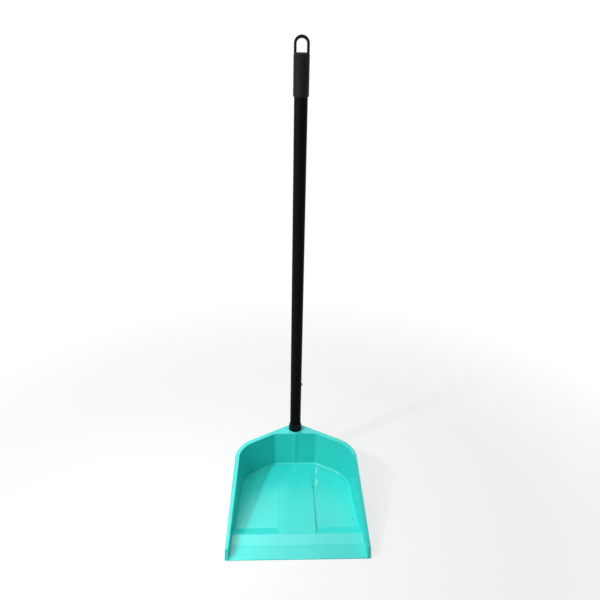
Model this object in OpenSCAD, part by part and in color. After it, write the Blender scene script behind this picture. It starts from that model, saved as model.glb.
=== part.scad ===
// Long-handled dustpan: a moulded pan with a socket at its back for a push-in handle.
// +Z is up, the pan lies flat on its underside and its mouth faces -Y.

/* [Pan outline] */
// Outside width at the mouth
mouth_w = 259; // [230:1:285]
// Outside width where the back corners begin
back_w = 241.5; // [220:0.5:265]
// Distance from the lip edge back to the handle axis
lip_reach = 257; // [230:1:290]
// Distance from the handle axis forward to where the back corners begin
corner_reach = 87; // [75:1:100]
// Angle between the slanted back walls and the width
back_angle = 31; // [25:1:36]
// Outside radius of the back corners
corner_r = 60; // [40:1:70]

/* [Pan walls] */
// Height of the back walls and the socket ledge
rear_h = 81; // [70:1:95]
// Height of the side walls at their front ends
mouth_h = 19.5; // [14:0.5:40]
// How far the front ends of the side walls slope back
rake_l = 8; // [0:0.5:15]
// Distance from the handle axis forward over which the rim stays level
level_reach = 82; // [70:1:110]
// Lean of the inner wall faces
wall_draft = 2; // [1:0.5:4]
// Thickness of the moulded skins of the hollow walls
skin_t = 2.4; // [1.8:0.1:3]
// Width of the side walls over both skins, at the floor by the mouth
mouth_wall_t = 6.9; // [6.5:0.1:12]
// Width of the side walls over both skins, at the floor by the back corners
back_wall_t = 10.5; // [9:0.1:14]
// Width of the slanted back walls over both skins, at the floor
slant_wall_t = 13.1; // [11:0.1:15]

/* [Pan floor] */
// Thickness of the floor
floor_t = 3; // [2:0.25:4]
// Radius of the floor at the back corners
floor_corner_r = 54; // [35:1:60]
// Radius of the floor where the slanted and the middle back walls meet
floor_bend_r = 12; // [6:1:20]

/* [Lip and tongue] */
// Thickness of the lip edge
lip_t = 1.2; // [0.8:0.1:2]
// Length of the lower ramp facet behind the lip edge
lower_ramp_l = 27.5; // [20:0.5:34]
// Height at the top of the lower ramp facet
lower_ramp_h = 4.6; // [3:0.1:6]
// Length of the upper ramp facet
upper_ramp_l = 20; // [14:0.5:26]
// Height of the ridge behind the ramp
ridge_h = 9; // [7:0.25:12]
// Length of the slope behind the ridge
ridge_back_l = 19; // [12:0.5:26]
// Width of the raised tongue along the middle of the floor
tongue_w = 69; // [50:1:90]
// Distance from the handle axis forward to where the tongue meets the floor
tongue_reach = 58; // [45:1:80]

/* [Socket] */
// Depth of the handle socket
socket_depth = 60; // [40:1:65]
// Clearance round the handle tip in the socket
socket_gap = 0.1; // [0.05:0.01:0.1]
// Gap between the end of the handle tip and the socket's floor
seat_gap = 0.2; // [0.1:0.05:0.3]
// Wall of the socket
socket_wall_t = 4.4; // [4:0.1:8]
// Thickness between the socket and the foot of the middle back wall
socket_front_t = 7.4; // [7.2:0.1:12]
// How far the socket bulges into the pan
socket_bulge = 2.4; // [0:0.2:2.6]
// Width of the raised ring round the socket's mouth
ring_w = 3.2; // [2:0.1:3.4]
// Height of the raised ring round the socket's mouth
ring_h = 1.2; // [0.6:0.1:2]
// Thickness of the ribs that tie the socket to the back walls
rib_t = 2; // [1.5:0.1:3]

/* [Handle] */
// Outside diameter of the plastic-skinned handle
handle_d = 22; // [20:0.5:23]
// Thickness of the plastic skin
sleeve_t = 0.45; // [0.3:0.05:0.8]
// Wall of the steel tube
tube_wall = 0.5; // [0.4:0.1:0.8]
// Clearance between pieces that are pressed together
press_gap = 0.05; // [0.02:0.01:0.08]
// Length of the tube
tube_l = 710; // [550:5:900]

/* [Handle tip] */
// How far the collar stands out from the handle
collar_t = 2; // [1.5:0.1:3]
// Height of the straight collar above the ledge
collar_h = 7.5; // [5:0.5:12]
// Height of the tapered part of the collar
collar_taper_h = 9; // [5:0.5:14]
// Height of the tube's end above the ledge
tube_rise = 3; // [1:0.5:5]
// Thickness of the collar at its upper edge
collar_edge_t = 0.5; // [0.3:0.1:0.8]
// Wall of the hollow tip
tip_wall = 3; // [2.5:0.1:4]
// How far the tip's shank reaches past the rivet
shank_past_rivet = 12; // [8:1:25]
// Height of the rivet above the ledge
rivet_rise = 112; // [60:1:180]
// Diameter of the rivet's shank
rivet_d = 4; // [3:0.5:5]
// Diameter of the rivet's head
rivet_head_d = 7; // [6:0.5:9]
// How far the rivet's head stands out from the handle
rivet_head_h = 2.2; // [1.5:0.1:3]

/* [Hang cap] */
// Wall of the cap round the handle
cap_wall = 1.65; // [1.3:0.05:3]
// Length of handle inside the cap
cap_grip_l = 51; // [30:1:80]
// Solid length between the handle's end and the loop
cap_top_t = 13; // [8:0.5:20]
// Radius of the cap's upper shoulder
cap_shoulder_r = 4; // [2:0.5:6]
// Radius of the cap's lower edge
cap_edge_r = 1; // [0.5:0.1:1.2]
// How far the hang loop's sides lie inside the cap's
loop_inset = 0.5; // [0.4:0.1:2]
// Thickness of the hang loop from front to back
loop_t = 6.5; // [5:0.5:7]
// Width of the hang loop's strand
loop_strand_w = 4.2; // [3:0.1:6]
// Height of the straight part of the hole in the hang loop
loop_hole_h = 12.5; // [8:0.5:16]

/* [Hidden] */
$fn = 64;
// Extra length by which a cutting shape passes the face that it cuts
over = 1;
// Straight pieces in the arc of one outline corner
corner_steps = 10;
// Bands in the dome of the rivet's head
dome_steps = 6;

tip_d = handle_d + 2 * collar_t;
socket_floor_z = rear_h - socket_depth;
socket_r = tip_d / 2 + socket_gap;
tip_end_z = socket_floor_z + seat_gap;
tip_l = rear_h - tip_end_z;

// Distances from the handle axis to the outside and the foot of the back walls
back_r = socket_r + socket_wall_t;
floor_slant_r = back_r - slant_wall_t;
floor_back_reach = socket_r + socket_front_t;
floor_mouth_w = mouth_w - 2 * mouth_wall_t;
floor_back_w = back_w - 2 * back_wall_t;

// The box of the whole part is centred on the frame's origin
frame_y = (lip_reach - back_r) / 2;

tube_d = handle_d - 2 * sleeve_t - 2 * press_gap;
tube_bore_d = tube_d - 2 * tube_wall;
tube_z = rear_h + tube_rise;
tube_top_z = tube_z + tube_l;
handle_bore_d = handle_d + 2 * press_gap;

collar_z = rear_h + collar_h;
shank_d = tube_bore_d - 2 * press_gap;
rivet_z = rear_h + rivet_rise;
shank_top_z = rivet_z + shank_past_rivet;
shank_bore_d = shank_d - 2 * tip_wall;
tip_bore_d = tip_d - 2 * tip_wall;

cap_d = handle_bore_d + 2 * cap_wall;
cap_z = tube_top_z - cap_grip_l;
loop_base_z = tube_top_z + cap_top_t;
loop_w = cap_d - 2 * loop_inset;
loop_hole_w = loop_w - 2 * loop_strand_w;
loop_arch_z = loop_base_z + loop_hole_h;

ridge_y = lower_ramp_l + upper_ramp_l - lip_reach;
ridge_foot_y = ridge_y + ridge_back_l;

// Lines are kept as a normal and a distance from the handle axis
slant_n = [sin(back_angle), cos(back_angle)];
outer_side_n = side_normal(mouth_w, back_w);
floor_side_n = side_normal(floor_mouth_w, floor_back_w);

function unit(v) = v / norm(v);

// Outward normal of a side wall that narrows from the mouth to the back
function side_normal(front_w, rear_w) = unit([lip_reach - corner_reach, (front_w - rear_w) / 2]);

// Point where two lines meet
function meet(n1, c1, n2, c2) =
    [c1 * n2.y - c2 * n1.y, n1.x * c2 - n2.x * c1] / (n1.x * n2.y - n1.y * n2.x);

// Points of the arc of radius r that rounds the corner at b between a and c
function round_corner(a, b, c, r) =
    let (
        to_a = unit(a - b),
        to_c = unit(c - b),
        half = acos(to_a * to_c) / 2,
        centre = b + unit(to_a + to_c) * r / sin(half),
        start = b + to_a * r / tan(half) - centre,
        stop = b + to_c * r / tan(half) - centre,
        first = atan2(start.y, start.x),
        turn = atan2(start.x * stop.y - start.y * stop.x, start * stop)
    )
    [for (i = [0:corner_steps])
        let (angle = first + turn * i / corner_steps) centre + r * [cos(angle), sin(angle)]];

function mirrored(points) = [for (i = [len(points) - 1:-1:0]) [-points[i].x, points[i].y]];

// Outside of the pan in plan, from the right end of the mouth round the back to the left end
function outer_outline(grow) =
    let (
        side_c = outer_side_n * [mouth_w / 2, -lip_reach] + grow,
        mouth = meet(outer_side_n, side_c, [0, 1], -lip_reach),
        corner = meet(outer_side_n, side_c, slant_n, back_r + grow),
        apex = [0, (back_r + grow) / slant_n.y],
        right = concat([mouth], round_corner(mouth, corner, apex, corner_r + grow))
    )
    concat(right, round_corner(corner, apex, [-corner.x, corner.y], back_r + grow), mirrored(right));

// Inside of the pan in plan, grown outwards, with an open mouth
function cavity_outline(grow) =
    let (
        side_c = floor_side_n * [floor_mouth_w / 2, -lip_reach] + grow,
        back_y = grow - floor_back_reach,
        mouth = meet(floor_side_n, side_c, [0, 1], -lip_reach - over),
        corner = meet(floor_side_n, side_c, slant_n, floor_slant_r + grow),
        bend = meet(slant_n, floor_slant_r + grow, [0, 1], back_y),
        right = concat(
            [mouth],
            round_corner(mouth, corner, bend, floor_corner_r + grow),
            round_corner(corner, bend, [0, back_y], floor_bend_r + grow)
        )
    )
    concat(right, mirrored(right));

// Distance that a leaning inner wall moves outwards between the floor and a height
function draft_at(z) = (z - floor_t) * tan(wall_draft);

module to_frame() {
    translate([0, frame_y, 0]) children();
}

// Profile of points [y, z] stretched across the width
module across(width, points) {
    rotate([90, 0, 90]) linear_extrude(width, center = true) polygon(points);
}

// Everything under the rim, lowered by drop and set back from the mouth by set_back
module under_rim(drop, set_back) {
    across(mouth_w + 2 * over, [
        [set_back - lip_reach, -over],
        [set_back - lip_reach, 0],
        [set_back + rake_l - lip_reach, mouth_h - drop],
        [-level_reach, rear_h - drop],
        [back_r + over, rear_h - drop],
        [back_r + over, -over]
    ]);
}

// Inside of the pan with leaning walls, grown outwards, from one height to another
module pan_cavity(grow, from_z, to_z) {
    low = cavity_outline(draft_at(from_z) + grow);
    high = cavity_outline(draft_at(to_z) + grow);
    count = len(low);
    polyhedron(
        points = concat([for (p = low) [p.x, p.y, from_z]], [for (p = high) [p.x, p.y, to_z]]),
        faces = concat(
            [[for (i = [0:count - 1]) i]],
            [[for (i = [count - 1:-1:0]) count + i]],
            [for (i = [0:count - 1])
                let (next = (i + 1) % count) [i, count + i, count + next, next]]
        )
    );
}

module ridge(width) {
    across(width, [
        [-lip_reach - over, -over],
        [-lip_reach - over, lip_t],
        [-lip_reach, lip_t],
        [lower_ramp_l - lip_reach, lower_ramp_h],
        [ridge_y, ridge_h],
        [ridge_foot_y, floor_t],
        [ridge_foot_y, -over]
    ]);
}

module tongue(width) {
    across(width, [
        [ridge_y, -over],
        [ridge_y, ridge_h],
        [-tongue_reach, floor_t],
        [-tongue_reach, -over]
    ]);
}

// Flat floor behind the ridge
module floor_slab() {
    translate([-mouth_w / 2, ridge_y, -over]) cube([mouth_w, lip_reach, floor_t + over]);
}

// Spaces under the ridge and the tongue that keep the floor at one thickness
module floor_pockets() {
    translate([0, 0, -floor_t]) {
        ridge(floor_back_w);
        tongue(tongue_w - 2 * floor_t);
    }
}

module socket_boss() {
    for (shift = [0, socket_bulge])
        translate([0, -shift, 0]) cylinder(r = back_r, h = rear_h);
}

module socket_rib() {
    translate([-back_w / 2, -rib_t / 2, 0]) cube([back_w, rib_t, rear_h]);
}

// Space inside the double walls, open underneath
module wall_hollow() {
    difference() {
        intersection() {
            translate([0, 0, -over]) linear_extrude(rear_h) polygon(outer_outline(-skin_t));
            under_rim(skin_t, skin_t);
        }
        pan_cavity(skin_t, -2 * over, rear_h + over);
        socket_boss();
        socket_rib();
    }
}

module pan() {
    color([0.25, 0.85, 0.8]) to_frame() difference() {
        union() {
            difference() {
                intersection() {
                    linear_extrude(rear_h) polygon(outer_outline(0));
                    under_rim(0, 0);
                }
                difference() {
                    pan_cavity(0, 0, rear_h + over);
                    floor_slab();
                    tongue(tongue_w);
                    ridge(mouth_w);
                    socket_boss();
                }
                wall_hollow();
                floor_pockets();
            }
            translate([0, 0, rear_h]) cylinder(r = socket_r + ring_w, h = ring_h);
        }
        translate([0, 0, socket_floor_z]) cylinder(r = socket_r, h = socket_depth + ring_h + over);
        translate([0, 0, -over]) cylinder(r = socket_r, h = socket_floor_z - skin_t + over);
    }
}

module rivet_hole() {
    translate([0, 0, rivet_z]) rotate([0, 90, 0]) cylinder(d = rivet_d + 2 * press_gap, h = handle_d);
}

module handle_tip() {
    color([0.09, 0.09, 0.1]) to_frame() difference() {
        union() {
            translate([0, 0, tip_end_z]) cylinder(d = tip_d, h = tip_l + collar_h);
            translate([0, 0, collar_z])
                cylinder(d1 = tip_d, d2 = handle_bore_d + 2 * collar_edge_t, h = collar_taper_h);
            translate([0, 0, tube_z]) cylinder(d = shank_d, h = shank_top_z - tube_z);
        }
        translate([0, 0, tube_z]) difference() {
            cylinder(d = handle_bore_d, h = tube_l);
            cylinder(d = shank_d, h = shank_top_z - tube_z);
        }
        translate([0, 0, tip_end_z - over])
            cylinder(d = tip_bore_d, h = tip_l - tip_wall + over);
        translate([0, 0, rear_h]) cylinder(d = shank_bore_d, h = shank_top_z - rear_h + over);
        rivet_hole();
    }
}

module handle_tube() {
    color([0.7, 0.7, 0.72]) to_frame() difference() {
        translate([0, 0, tube_z]) cylinder(d = tube_d, h = tube_l);
        translate([0, 0, tube_z - over]) cylinder(d = tube_bore_d, h = tube_l + 2 * over);
        rivet_hole();
    }
}

module handle_sleeve() {
    color([0.08, 0.07, 0.08]) to_frame() difference() {
        translate([0, 0, tube_z]) cylinder(d = handle_d, h = tube_l);
        translate([0, 0, tube_z - over]) cylinder(d = handle_d - 2 * sleeve_t, h = tube_l + 2 * over);
        rivet_hole();
    }
}

// Half section of the rivet's domed head, which reaches into the handle's side before it is cut
function rivet_head_profile() =
    let (
        head_r = rivet_head_d / 2,
        crown = handle_d / 2 + rivet_head_h,
        dome_r = (pow(head_r, 2) + pow(rivet_head_h, 2)) / (2 * rivet_head_h),
        dome_angle = asin(head_r / dome_r)
    )
    concat(
        [[0, shank_d / 2]],
        [[head_r, shank_d / 2]],
        [for (i = [dome_steps:-1:0])
            let (angle = dome_angle * i / dome_steps)
                [dome_r * sin(angle), crown - dome_r * (1 - cos(angle))]]
    );

module tip_rivet() {
    color([0.2, 0.2, 0.21]) to_frame() translate([0, 0, rivet_z]) union() {
        difference() {
            rotate([0, 90, 0]) rotate_extrude() polygon(rivet_head_profile());
            cylinder(d = handle_bore_d, h = 2 * rivet_head_d, center = true);
        }
        translate([shank_bore_d / 2, 0, 0]) rotate([0, 90, 0])
            cylinder(d = rivet_d, h = (handle_d + rivet_head_h - shank_bore_d) / 2);
    }
}

// Half section of the cap's body with its rounded lower edge and upper shoulder
function cap_profile() =
    let (
        axis_low = [0, cap_z],
        axis_high = [0, loop_base_z],
        edge_low = [cap_d / 2, cap_z],
        edge_high = [cap_d / 2, loop_base_z]
    )
    concat(
        [axis_low],
        round_corner(axis_low, edge_low, edge_high, cap_edge_r),
        round_corner(edge_low, edge_high, axis_high, cap_shoulder_r),
        [axis_high]
    );

// Upright plate with a round top, for the loop and for the hole in it
module loop_plate(width, base_z, depth) {
    translate([-width / 2, -depth / 2, base_z]) cube([width, depth, loop_arch_z - base_z]);
    translate([0, 0, loop_arch_z]) rotate([90, 0, 0]) cylinder(d = width, h = depth, center = true);
}

module hang_cap() {
    color([0.16, 0.16, 0.17]) to_frame() difference() {
        union() {
            rotate_extrude() polygon(cap_profile());
            loop_plate(loop_w, loop_base_z - cap_shoulder_r, loop_t);
        }
        loop_plate(loop_hole_w, loop_base_z, 2 * cap_d);
        translate([0, 0, cap_z - over]) cylinder(d = handle_bore_d, h = cap_grip_l + over);
    }
}

pan();
handle_tip();
handle_tube();
handle_sleeve();
tip_rivet();
hang_cap();
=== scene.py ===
"""Looks of a long-handled dustpan: a moulded pan, and a coated tube handle with its tip, rivet and hang cap.

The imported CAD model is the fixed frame. Each class models one sub-assembly at its own place in that frame,
in metres, and dresses it with a procedural finish.
"""

import logging
import math
from collections.abc import Callable, Iterator, Sequence
from contextlib import contextmanager
from dataclasses import dataclass, replace
from enum import Enum
from functools import cached_property
from itertools import permutations

import bmesh
import bpy
from mathutils import Matrix, Vector


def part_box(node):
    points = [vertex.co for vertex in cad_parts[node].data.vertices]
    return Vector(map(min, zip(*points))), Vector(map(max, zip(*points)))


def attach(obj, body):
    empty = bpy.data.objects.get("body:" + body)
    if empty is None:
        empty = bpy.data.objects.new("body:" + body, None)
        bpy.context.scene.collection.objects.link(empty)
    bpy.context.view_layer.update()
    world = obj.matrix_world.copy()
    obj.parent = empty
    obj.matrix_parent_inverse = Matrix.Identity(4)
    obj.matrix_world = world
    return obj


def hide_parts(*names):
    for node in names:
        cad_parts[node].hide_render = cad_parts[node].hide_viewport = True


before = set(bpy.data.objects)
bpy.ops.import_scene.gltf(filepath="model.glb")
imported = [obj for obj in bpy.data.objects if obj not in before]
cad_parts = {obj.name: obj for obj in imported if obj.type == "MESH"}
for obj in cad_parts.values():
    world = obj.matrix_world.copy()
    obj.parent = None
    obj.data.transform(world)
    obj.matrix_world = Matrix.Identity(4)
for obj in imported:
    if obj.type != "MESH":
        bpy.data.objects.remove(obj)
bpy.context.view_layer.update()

LOG = logging.getLogger("dustpan")
# How far a cutting shape passes the face that it cuts
OVER = 0.001
# Points closer together than this are one point
MERGE = 1e-6
# How far off a face a point may lie and still count as on it
ON_FACE = 1e-5
# How far from its expected place an edge may be found
NEAR = 0.008
# Least part of a unit vector along a direction for what points that way
FACING = 0.9
# Most part of a unit normal along the upright for a face that stands
STANDING = 0.2
# Turn between two faces that meet squarely
SQUARE = math.pi / 2
# Flats round the handle's pieces
ROUND_STEPS = 96
# Left and right
SIDES = (-1, 1)

Colour = tuple[float, float, float]
Place = tuple[float, float, float]
Pair = tuple[float, float]
Wall = tuple[Vector, float]
Edge = bmesh.types.BMEdge
Face = bmesh.types.BMFace
Socket = bpy.types.NodeSocket
EdgeTest = Callable[[Edge], bool]
FaceTest = Callable[[Face], bool]
PointTest = Callable[[Vector], bool]


class Pick(Enum):
    """What edit mode selects."""

    VERT = "VERT"
    EDGE = "EDGE"
    FACE = "FACE"


class Join(Enum):
    """How one workpiece acts on another."""

    ADD = "UNION"
    CUT = "DIFFERENCE"


class Reckon(Enum):
    """How two values become one."""

    PRODUCT = "MULTIPLY"
    LARGER = "MAXIMUM"


class Body(Enum):
    """The CAD bodies that the pieces ride on."""

    PAN = "pan"
    HANDLE = "handle"


def deselect_all() -> None:
    """Clears the selection, since operators act on all that is selected."""
    bpy.ops.object.select_all(action="DESELECT")


def arc_profile(turn: float) -> float:
    """Bevel profile that keeps a fillet round between faces that meet at this turn, in radians."""
    return (1 - 0.5 / (1 + math.cos(turn / 2))) ** 2


def meet(n1: Vector, c1: float, n2: Vector, c2: float) -> Vector:
    """Plan point where two lines meet, each given by its normal and its distance from the origin."""
    return Vector((c1 * n2.y - c2 * n1.y, n1.x * c2 - n2.x * c1)) / (n1.x * n2.y - n1.y * n2.x)


def looks_up(face: Face) -> bool:
    """Whether a face looks up."""
    return face.normal.z > FACING


def looks_down(face: Face) -> bool:
    """Whether a face looks down."""
    return face.normal.z < -FACING


def looks_aside(face: Face) -> bool:
    """Whether a face looks to the left or to the right."""
    return abs(face.normal.x) > FACING


def stands(face: Face) -> bool:
    """Whether a face stands upright or nearly so."""
    return abs(face.normal.z) < STANDING


def is_wall(face: Face) -> bool:
    """Whether a face stands and doesn't look out of the mouth."""
    return stands(face) and face.normal.y > -FACING


def parts(one: FaceTest, other: FaceTest) -> EdgeTest:
    """Test for the edges that part two kinds of face.

    Args:
        one: test that the face on one side passes.
        other: test that the face on the other side passes.

    Returns:
        A test on an edge.
    """

    def test(edge: Edge) -> bool:
        """Whether the edge parts a face of one kind from a face of the other."""
        pairs = permutations(edge.link_faces, 2)
        return len(edge.link_faces) == 2 and any(one(a) and other(b) for a, b in pairs)

    return test


def middle(edge: Edge) -> Vector:
    """Point halfway along an edge."""
    return (edge.verts[0].co + edge.verts[1].co) / 2


def upright_at(place: Vector) -> EdgeTest:
    """Test for the upright edges near a plan point.

    Args:
        place: the plan point.

    Returns:
        A test on an edge.
    """

    def test(edge: Edge) -> bool:
        """Whether the edge stands upright near the place."""
        run = edge.verts[1].co - edge.verts[0].co
        return abs(run.z) > FACING * run.length and (middle(edge).xy - place).length < NEAR

    return test


def top_at(y: float, top: float) -> PointTest:
    """Test for the points at one place along the pan and on top of a bar of this height."""
    return lambda p: abs(p.y - y) < MERGE and p.z > top - MERGE


class Workpiece:
    """A mesh in the making, shaped with operators in the frame's own coordinates."""

    def __init__(self, name: str) -> None:
        """Takes the primitive that was just added.

        Args:
            name: name of the piece.
        """
        self.obj: bpy.types.Object = bpy.context.object
        self.obj.name = name
        self.obj.data.name = name
        self.settle()

    @classmethod
    def block(cls, name: str, low: Vector, high: Vector) -> "Workpiece":
        """Box between two corners.

        Args:
            name: name of the piece.
            low: lowest corner.
            high: highest corner.

        Returns:
            The new workpiece.
        """
        deselect_all()
        bpy.ops.mesh.primitive_cube_add(size=1, location=(low + high) / 2, scale=high - low)
        return cls(name)

    @classmethod
    def rod(
        cls, name: str, foot: Vector, radius: float, height: float, sides: int = ROUND_STEPS
    ) -> "Workpiece":
        """Upright round bar.

        Args:
            name: name of the piece.
            foot: middle of its lower end.
            radius: radius of the bar.
            height: height of the bar.
            sides: flats round the bar.

        Returns:
            The new workpiece.
        """
        deselect_all()
        bpy.ops.mesh.primitive_cylinder_add(
            vertices=sides, radius=radius, depth=height, location=foot + Vector((0, 0, height / 2))
        )
        return cls(name)

    @classmethod
    def turned(cls, name: str, centre: Vector, profile: Sequence[Pair], steps: int) -> "Workpiece":
        """Turned solid about an upright axis.

        Args:
            name: name of the piece.
            centre: a point on the axis.
            profile: half section from axis to axis, as pairs of radius and height above the centre.
            steps: steps in the full turn.

        Returns:
            The new workpiece.
        """
        deselect_all()
        start = Vector((profile[0][0], 0, profile[0][1]))
        bpy.ops.mesh.primitive_plane_add(size=OVER, location=centre + start)
        piece = cls(name)
        with piece.editing(Pick.VERT):
            bpy.ops.mesh.merge(type="CENTER")
            for (r0, z0), (r1, z1) in zip(profile, profile[1:]):
                bpy.ops.mesh.extrude_vertices_move(TRANSFORM_OT_translate={"value": (r1 - r0, 0, z1 - z0)})
            bpy.ops.mesh.select_all(action="SELECT")
            bpy.ops.mesh.spin(steps=steps, angle=math.tau, center=centre, axis=(0, 0, 1))
        piece.clean()
        return piece

    def activate(self) -> None:
        """Makes this the one object that operators act on."""
        deselect_all()
        self.obj.select_set(True)
        bpy.context.view_layer.objects.active = self.obj

    def settle(self) -> None:
        """Moves the object's place, turn and scale into its mesh."""
        self.activate()
        bpy.ops.object.transform_apply(location=True, rotation=True, scale=True)

    @contextmanager
    def editing(self, pick: Pick, wanted: Callable[..., bool] | None = None) -> Iterator[None]:
        """Opens the mesh in edit mode with a selection, and closes it again.

        Args:
            pick: what edit mode selects.
            wanted: test on what is selected, or None for the whole mesh.

        Yields:
            Nothing, while edit mode is open.
        """
        self.activate()
        bpy.ops.object.mode_set(mode="EDIT")
        bpy.ops.mesh.select_mode(type=pick.value)
        bpy.ops.mesh.select_all(action="DESELECT" if wanted else "SELECT")
        if wanted:
            mesh = bmesh.from_edit_mesh(self.obj.data)
            items = {Pick.VERT: mesh.verts, Pick.EDGE: mesh.edges, Pick.FACE: mesh.faces}[pick]
            for item in filter(wanted, items):
                item.select_set(True)
            mesh.select_flush_mode()
            bmesh.update_edit_mesh(self.obj.data)
        yield
        bpy.ops.object.mode_set(mode="OBJECT")

    def cut(self, point: Vector, outward: Vector) -> None:
        """Cuts off all that lies outward of a plane through a point, and closes the cut."""
        with self.editing(Pick.FACE):
            bpy.ops.mesh.bisect(plane_co=point, plane_no=outward, use_fill=True, clear_outer=True)

    def score(self, point: Vector, normal: Vector) -> None:
        """Adds the edges where a plane through a point crosses the mesh."""
        with self.editing(Pick.FACE):
            bpy.ops.mesh.bisect(plane_co=point, plane_no=normal)

    def shift_points(self, wanted: PointTest, move: Vector) -> None:
        """Moves the points whose place passes a test."""
        with self.editing(Pick.VERT, lambda v: wanted(v.co)):
            bpy.ops.transform.translate(value=move)

    def scale_points(self, wanted: PointTest, factors: Vector, centre: Vector) -> None:
        """Scales the points whose place passes a test about a centre, by a factor along each axis."""
        with self.editing(Pick.VERT, lambda v: wanted(v.co)):
            bpy.ops.transform.resize(value=factors, center_override=centre)

    def round_edges(self, wanted: EdgeTest, radius: float, segments: int, turn: float = SQUARE) -> None:
        """Rounds the edges that pass a test.

        Args:
            wanted: test on an edge.
            radius: radius of the round.
            segments: strips in the round.
            turn: angle between the normals of the two faces that meet there, in radians.
        """
        with self.editing(Pick.EDGE, wanted):
            bpy.ops.mesh.bevel(
                offset_type="OFFSET",
                offset=radius * math.tan(turn / 2),
                segments=segments,
                profile=arc_profile(turn),
                affect="EDGES",
                clamp_overlap=False,
            )

    def apply(self, modifier: bpy.types.Modifier) -> None:
        """Applies a modifier to the mesh."""
        self.activate()
        bpy.ops.object.modifier_apply(modifier=modifier.name)

    def join(self, tool: "Workpiece", how: Join) -> None:
        """Adds another workpiece to this one or cuts it out, and uses it up.

        Args:
            tool: the other workpiece.
            how: whether it is added or cut out.
        """
        boolean = self.obj.modifiers.new(how.name.lower(), "BOOLEAN")
        boolean.operation = how.value
        boolean.solver = "EXACT"
        boolean.object = tool.obj
        self.apply(boolean)
        bpy.data.meshes.remove(tool.obj.data)

    def clean(self) -> None:
        """Merges doubled points and turns all faces outwards."""
        with self.editing(Pick.VERT):
            bpy.ops.mesh.remove_doubles(threshold=MERGE)
            bpy.ops.mesh.normals_make_consistent(inside=False)

    def sharpen(self, wanted: EdgeTest) -> None:
        """Marks the edges that pass a test, so that shading keeps them crisp."""
        with self.editing(Pick.EDGE, wanted):
            bpy.ops.mesh.mark_sharp()

    def shade(self, crease: float) -> None:
        """Shades the mesh smooth up to a crease angle, with the flat faces kept flat.

        Args:
            crease: angle beyond which an edge stays sharp, in degrees.
        """
        self.activate()
        bpy.ops.object.shade_smooth_by_angle(angle=math.radians(crease))
        weighted = self.obj.modifiers.new("flat_faces", "WEIGHTED_NORMAL")
        weighted.keep_sharp = True
        self.apply(weighted)

    def place(self, body: Body, node: str, slot: str, material: bpy.types.Material) -> bpy.types.Object:
        """Puts the finished piece in place of its CAD node.

        Args:
            body: CAD body that it rides on.
            node: CAD node that it stands for.
            slot: name of a material slot of the record; not used.
            material: its finish.

        Returns:
            The finished object.
        """
        self.obj.data.materials.clear()
        self.obj.data.materials.append(material)
        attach(self.obj, body.value)
        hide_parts(node)
        LOG.info("%s: %d faces, for node %s", self.obj.name, len(self.obj.data.polygons), node)
        return self.obj


@dataclass(frozen=True)
class Grain:
    """A noise pattern: its grains to the metre, its octaves, and the range of its values that is used."""

    scale: float
    detail: float = 2
    stretch: Place = (1, 1, 1)
    start: float = 0
    stop: float = 1


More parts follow.
